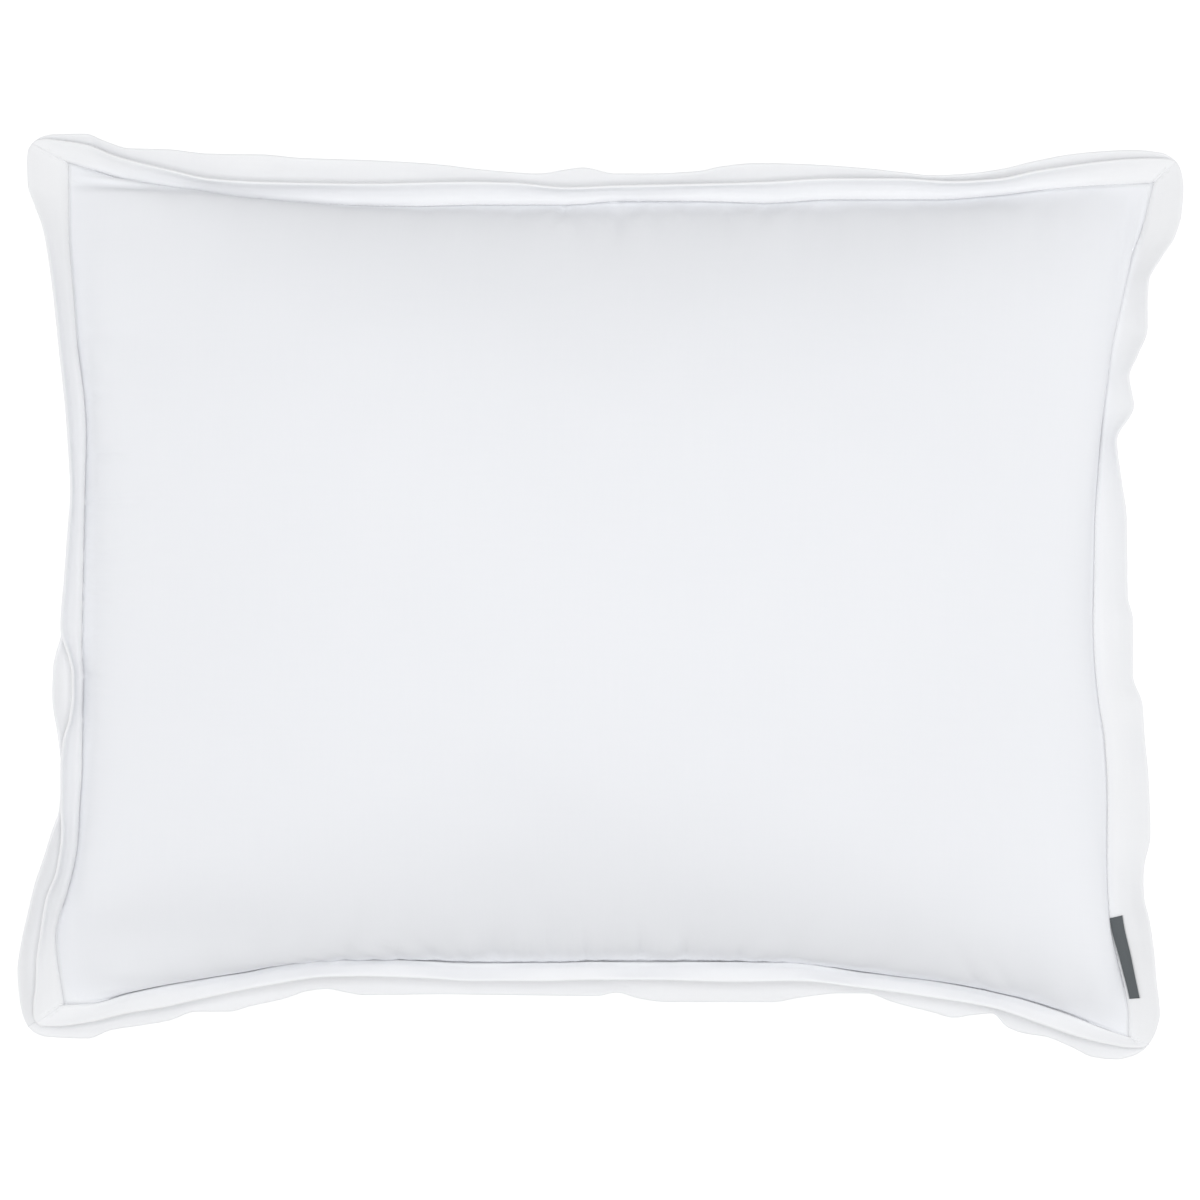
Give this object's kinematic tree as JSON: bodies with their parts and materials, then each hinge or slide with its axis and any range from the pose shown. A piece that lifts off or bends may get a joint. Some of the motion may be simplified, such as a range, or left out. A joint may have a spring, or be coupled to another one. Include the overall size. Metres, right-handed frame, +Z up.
{
  "type": "bed pillow",
  "caption": "Plump rectangular bed pillow: a linen cover with a double mitred flange and a concealed zip, around a feather and down insert.",
  "frame": {"origin": "middle of the bounding box, on the surface that the pillow lies on", "axes": "+X along the pillow's length towards the end with the woven label, +Y along its width away from the zip, +Z up out of the front panel"},
  "size_m": [0.6694, 0.5318, 0.175],
  "materials": {
    "linen_front": "plain-weave linen, washed, matt with a soft fuzz",
    "linen_back": "plain-weave linen, washed, matt",
    "linen_flange": "plain-weave linen, folded double and pressed",
    "thread": "spun polyester sewing thread",
    "label": "dark grey woven tape with light selvedges",
    "care_label": "plain white satin tape",
    "zip_tape": "white twill tape",
    "zip_coil": "white polyester monofilament coil",
    "zip_metal": "white-lacquered die-cast zinc",
    "ticking": "dense down-proof cotton",
    "piping": "cotton-covered cord",
    "fill": "loose feather and down"
  },
  "bodies": {
    "pillow": {"front_panel": "linen_front", "back_panel": "linen_back", "front_flange_top": "linen_flange", "front_flange_bottom": "linen_flange", "front_flange_left": "linen_flange", "front_flange_right": "linen_flange", "back_flange_top": "linen_flange", "back_flange_bottom": "linen_flange", "back_flange_left": "linen_flange", "back_flange_right": "linen_flange", "front_seam_thread": "thread", "back_seam_thread": "thread", "woven_label": "label", "cover_care_label": "care_label", "zipper_tape_front": "zip_tape", "zipper_tape_back": "zip_tape", "zipper_coil_front": "zip_coil", "zipper_coil_back": "zip_coil", "zipper_top_stop_front": "zip_metal", "zipper_top_stop_back": "zip_metal", "zipper_bottom_stop": "zip_metal", "insert_shell_front": "ticking", "insert_shell_back": "ticking", "insert_piping": "piping", "insert_care_label": "care_label", "insert_fill": "fill"},
    "slider": {"zipper_slider": "zip_metal"},
    "pull": {"zipper_pull": "zip_metal"}
  },
  "joints": [
    {"name": "zip_slide", "type": "slide", "parent": "pillow", "child": "slider", "axis": [1, 0, 0], "range_m": [0, 0.265]},
    {"name": "pull_hinge", "type": "hinge", "parent": "slider", "child": "pull", "pos_m": [-0.158, -0.2151, 0.07779], "axis": [0, -0.8192, -0.5736], "range_deg": [0, 178]}
  ]
}
